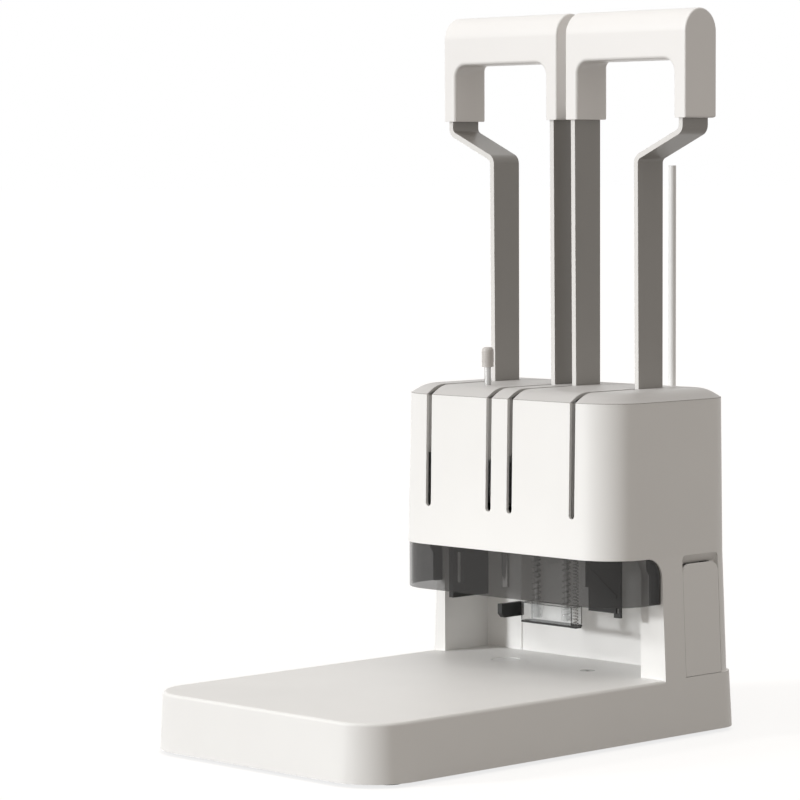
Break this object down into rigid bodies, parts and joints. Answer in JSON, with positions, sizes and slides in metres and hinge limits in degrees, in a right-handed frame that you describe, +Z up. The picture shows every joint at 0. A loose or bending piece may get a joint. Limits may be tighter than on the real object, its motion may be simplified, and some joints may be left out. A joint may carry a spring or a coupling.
{
  "type": "binding machine",
  "caption": "Desk binding machine with a drill and a rivet press, each worked by a tall pull lever over a flat base with an open throat.",
  "frame": {"origin": "centre of the object's box, on the floor", "axes": "+Z up, -Y towards the user, +X to the user's right"},
  "size_m": [0.248, 0.3844, 0.535],
  "materials": {
    "white_shell": "fine textured moulding",
    "smoked_plastic": "smoked, see-through",
    "black_plastic": "moulded",
    "clear_plastic": "clear",
    "painted_arm": "powder coated",
    "bare_steel": "brushed",
    "dark_steel": "black oxide",
    "spring_steel": "drawn wire",
    "alloy": "milled",
    "rubber": "matte",
    "white_nylon": "drawn tube",
    "grey_knob": "turned",
    "board_green": "laminate"
  },
  "bodies": {
    "root": {"base_shell": "white_shell", "base_plate": "dark_steel", "rubber_feet": "rubber", "case_screws": "bare_steel", "lower_die": "bare_steel", "frame_left": "bare_steel", "frame_right": "bare_steel", "frame_bolts": "bare_steel", "tool_plate": "bare_steel", "top_bridge": "bare_steel", "base_beam": "bare_steel", "guide_rods": "bare_steel", "housing_shell": "white_shell", "top_cap": "white_shell", "rear_cover": "white_shell", "power_inlet": "black_plastic", "control_board": "board_green", "smoke_shield": "smoked_plastic", "shield_frame": "black_plastic", "drill_bracket": "dark_steel", "press_bracket": "dark_steel", "pivot_shaft": "bare_steel", "shaft_clips": "bare_steel", "tube_guide": "black_plastic"},
    "left_lever": {"left_hub": "bare_steel", "left_inner_arm": "painted_arm", "left_outer_arm": "painted_arm", "left_grip": "white_shell", "left_grip_screws": "bare_steel", "left_sector_gears": "bare_steel", "left_return_spring": "spring_steel"},
    "right_lever": {"right_hub": "bare_steel", "right_inner_arm": "painted_arm", "right_outer_arm": "painted_arm", "right_grip": "white_shell", "right_grip_screws": "bare_steel", "right_sector_gears": "bare_steel", "right_return_spring": "spring_steel"},
    "drill_unit": {"drill_carriage": "alloy", "drill_racks": "bare_steel", "spindle_bearings": "bare_steel", "drill_motor": "bare_steel"},
    "spindle_unit": {"spindle": "bare_steel", "drill_chuck": "dark_steel", "drill_bit": "bare_steel"},
    "press_unit": {"press_carriage": "alloy", "press_racks": "bare_steel", "heater_block": "alloy", "rivet_punch": "dark_steel"},
    "foot_unit": {"press_foot": "clear_plastic", "foot_plate": "dark_steel", "foot_tab": "black_plastic", "foot_rods": "bare_steel", "foot_springs": "spring_steel", "foot_return_spring": "spring_steel"},
    "bin_drawer": {"chip_bin": "white_shell"},
    "rivet_magazine": {"rivet_tube": "white_nylon"},
    "lock_button": {"lock_knob": "grey_knob"},
    "disc": {"cutting_disc": "white_nylon"},
    "rocker": {"power_switch": "black_plastic"}
  },
  "joints": [
    {"name": "left_lever_pull", "type": "hinge", "parent": "root", "child": "left_lever", "pos_m": [-0.0425, 0.139, 0.179], "axis": [1, 0, 0], "range_deg": [0, 90], "stiffness_Nm_per_rad": 1.6, "springref_deg": -34.38},
    {"name": "right_lever_pull", "type": "hinge", "parent": "root", "child": "right_lever", "pos_m": [0.0425, 0.139, 0.179], "axis": [1, 0, 0], "range_deg": [0, 90], "stiffness_Nm_per_rad": 1.6, "springref_deg": -34.38},
    {"name": "drill_feed", "type": "slide", "parent": "root", "child": "drill_unit", "axis": [0, 0, -1], "range_m": [0, 0.055]},
    {"name": "spindle_spin", "type": "hinge", "parent": "drill_unit", "child": "spindle_unit", "pos_m": [-0.0424, 0.106, 0.15], "axis": [0, 0, 1], "continuous": true},
    {"name": "press_feed", "type": "slide", "parent": "root", "child": "press_unit", "axis": [0, 0, -1], "range_m": [0, 0.055]},
    {"name": "foot_drop", "type": "slide", "parent": "root", "child": "foot_unit", "axis": [0, 0, -1], "range_m": [0, 0.03], "deforming": ["foot_springs", "foot_return_spring"]},
    {"name": "bin_pull", "type": "slide", "parent": "root", "child": "bin_drawer", "axis": [1, 0, 0], "range_m": [0, 0.026]},
    {"name": "tube_lift", "type": "slide", "parent": "root", "child": "rivet_magazine", "axis": [0, 0, 1], "range_m": [0, 0.21]},
    {"name": "lock_press", "type": "slide", "parent": "root", "child": "lock_button", "axis": [0, 0, -1], "range_m": [0, 0.006], "stiffness_N_per_m": 400, "springref_m": -0.002},
    {"name": "disc_turn", "type": "hinge", "parent": "root", "child": "disc", "pos_m": [-0.0424, 0.106, 0.041], "axis": [0, 0, 1], "continuous": true},
    {"name": "switch_rock", "type": "hinge", "parent": "root", "child": "rocker", "pos_m": [0, 0.1855, 0.084], "axis": [1, 0, 0], "range_deg": [-6, 6]}
  ],
  "couplings": [
    {"joint": "drill_feed", "follows": "left_lever_pull", "m_per_rad": 0.035},
    {"joint": "press_feed", "follows": "right_lever_pull", "m_per_rad": 0.035},
    {"joint": "foot_drop", "follows": "left_lever_pull", "m_per_rad": 0.019}
  ]
}
